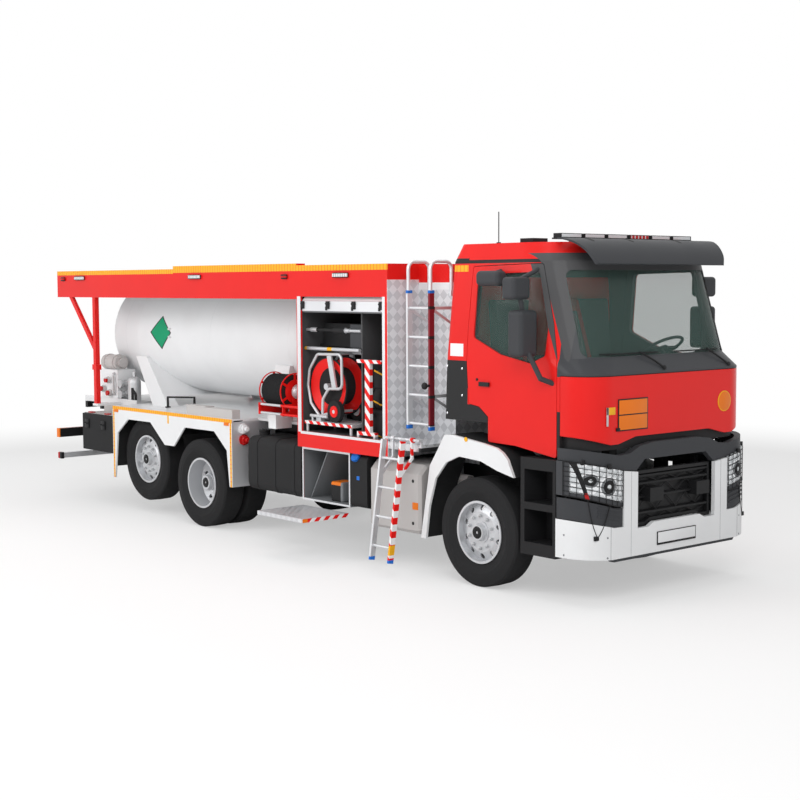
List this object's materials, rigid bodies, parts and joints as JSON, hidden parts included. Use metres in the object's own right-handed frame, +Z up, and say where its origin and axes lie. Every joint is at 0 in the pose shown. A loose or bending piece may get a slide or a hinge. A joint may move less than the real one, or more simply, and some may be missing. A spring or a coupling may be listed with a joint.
{
  "type": "airport fire truck",
  "caption": "Airport carbon dioxide fire tanker on a three-axle chassis: cab, equipment compartments, ladder, hose reel and a cylindrical tank under a long canopy",
  "frame": {"origin": "on the ground, under the centre of the whole vehicle's box, steps folded down on both sides", "axes": "+X forward, +Y to the vehicle's left, +Z up"},
  "size_m": [9.642, 3.61, 3.5498],
  "materials": {
    "body_red": "gloss red paint",
    "body_white": "gloss white paint",
    "frame_black": "satin black paint",
    "rim_silver": "silver paint",
    "aluminium": "satin, chequered on the walls",
    "zinc_steel": "galvanised",
    "trim_black": "grained",
    "light_plastic": "dark grey",
    "lamp": "clear cover",
    "tyre": "treaded",
    "glass": "tinted",
    "engine": "raw"
  },
  "bodies": {
    "truck": {"access_tower": "aluminium", "battery_box": "trim_black", "bumper": "body_white", "cab_interior": "light_plastic", "cab_shell": "body_red", "cab_steps": "trim_black", "canopy": "body_red", "carbon_dioxide_tank": "body_white", "chassis_frame": "frame_black", "drive_axle": "frame_black", "engine_block": "engine", "equipment_body": "body_red", "front_axle": "frame_black", "front_mudguards": "body_white", "front_trim": "trim_black", "grille": "trim_black", "headlamps": "lamp", "light_bar": "lamp", "pipework": "body_white", "rear_beam": "trim_black", "rear_deck": "body_white", "rear_fenders": "body_white", "reel_stand": "body_red", "roller_shutters": "aluminium", "side_tanks": "trim_black", "silencer": "zinc_steel", "stowed_gear": "body_red", "sun_visor": "light_plastic", "tag_axle": "frame_black", "tank_saddles": "body_white", "toolboxes": "trim_black", "upper_ladder": "aluminium", "windscreen": "glass"},
    "steer_left": {"knuckle_left": "frame_black"},
    "steer_right": {"knuckle_right": "frame_black"},
    "front_wheel_left": {"front_tyre_left": "tyre", "front_rim_left": "rim_silver"},
    "front_wheel_right": {"front_tyre_right": "tyre", "front_rim_right": "rim_silver"},
    "drive_wheels_left": {"drive_tyres_left": "tyre", "drive_rims_left": "rim_silver"},
    "drive_wheels_right": {"drive_tyres_right": "tyre", "drive_rims_right": "rim_silver"},
    "tag_wheel_left": {"tag_tyre_left": "tyre", "tag_rim_left": "rim_silver"},
    "tag_wheel_right": {"tag_tyre_right": "tyre", "tag_rim_right": "rim_silver"},
    "door_left": {"door_left": "body_red", "door_glass_left": "glass", "mirror_left": "light_plastic"},
    "door_right": {"door_right": "body_red", "door_glass_right": "glass", "mirror_right": "light_plastic"},
    "front_flap": {"front_flap": "body_red"},
    "fold_step_left": {"fold_step_left": "aluminium"},
    "fold_step_right": {"fold_step_right": "aluminium"},
    "lower_ladder": {"lower_ladder": "aluminium"},
    "reel_drum": {"reel_drum": "body_red"},
    "toolbox_lid_left": {"toolbox_lid_left": "trim_black"},
    "toolbox_lid_right": {"toolbox_lid_right": "trim_black"}
  },
  "joints": [
    {"name": "steer_left_swivel", "type": "hinge", "parent": "truck", "child": "steer_left", "pos_m": [3.405, 0.9, 0.522], "axis": [0, 0, 1], "range_deg": [-35, 35]},
    {"name": "front_wheel_left_spin", "type": "hinge", "parent": "steer_left", "child": "front_wheel_left", "pos_m": [3.405, 1.064, 0.522], "axis": [0, 1, 0], "continuous": true},
    {"name": "drive_wheels_left_spin", "type": "hinge", "parent": "truck", "child": "drive_wheels_left", "pos_m": [-1.28, 1.102, 0.522], "axis": [0, 1, 0], "continuous": true},
    {"name": "tag_wheel_left_spin", "type": "hinge", "parent": "truck", "child": "tag_wheel_left", "pos_m": [-2.65, 1.008, 0.679], "axis": [0, 1, 0], "continuous": true},
    {"name": "door_left_hinge", "type": "hinge", "parent": "truck", "child": "door_left", "pos_m": [4.36, 1.15, 2], "axis": [0, 0, -1], "range_deg": [0, 75]},
    {"name": "fold_step_left_hinge", "type": "hinge", "parent": "truck", "child": "fold_step_left", "pos_m": [1.075, 1.205, 0.48], "axis": [1, 0, 0], "range_deg": [0, 90]},
    {"name": "toolbox_lid_left_hinge", "type": "hinge", "parent": "truck", "child": "toolbox_lid_left", "pos_m": [-3.735, 1.226, 0.698], "axis": [-1, 0, 0], "range_deg": [0, 90]},
    {"name": "steer_right_swivel", "type": "hinge", "parent": "truck", "child": "steer_right", "pos_m": [3.405, -0.9, 0.522], "axis": [0, 0, 1], "range_deg": [-35, 35]},
    {"name": "front_wheel_right_spin", "type": "hinge", "parent": "steer_right", "child": "front_wheel_right", "pos_m": [3.405, -1.064, 0.522], "axis": [0, 1, 0], "continuous": true},
    {"name": "drive_wheels_right_spin", "type": "hinge", "parent": "truck", "child": "drive_wheels_right", "pos_m": [-1.28, -1.102, 0.522], "axis": [0, 1, 0], "continuous": true},
    {"name": "tag_wheel_right_spin", "type": "hinge", "parent": "truck", "child": "tag_wheel_right", "pos_m": [-2.65, -1.008, 0.679], "axis": [0, 1, 0], "continuous": true},
    {"name": "door_right_hinge", "type": "hinge", "parent": "truck", "child": "door_right", "pos_m": [4.36, -1.15, 2], "axis": [0, 0, 1], "range_deg": [0, 75]},
    {"name": "fold_step_right_hinge", "type": "hinge", "parent": "truck", "child": "fold_step_right", "pos_m": [1.075, -1.205, 0.48], "axis": [-1, 0, 0], "range_deg": [0, 90]},
    {"name": "toolbox_lid_right_hinge", "type": "hinge", "parent": "truck", "child": "toolbox_lid_right", "pos_m": [-3.735, -1.226, 0.698], "axis": [1, 0, 0], "range_deg": [0, 90]},
    {"name": "front_flap_hinge", "type": "hinge", "parent": "truck", "child": "front_flap", "pos_m": [4.749, 0, 2.035], "axis": [0, -1, 0], "range_deg": [0, 80]},
    {"name": "lower_ladder_hinge", "type": "hinge", "parent": "truck", "child": "lower_ladder", "pos_m": [2.435, -1.285, 1.335], "axis": [-1, 0, 0], "range_deg": [0, 150]},
    {"name": "reel_drum_spin", "type": "hinge", "parent": "truck", "child": "reel_drum", "pos_m": [0.115, -1.02, 1.68], "axis": [1, 0, 0], "continuous": true}
  ],
  "couplings": [
    {"joint": "steer_right_swivel", "follows": "steer_left_swivel", "ratio": 1}
  ]
}
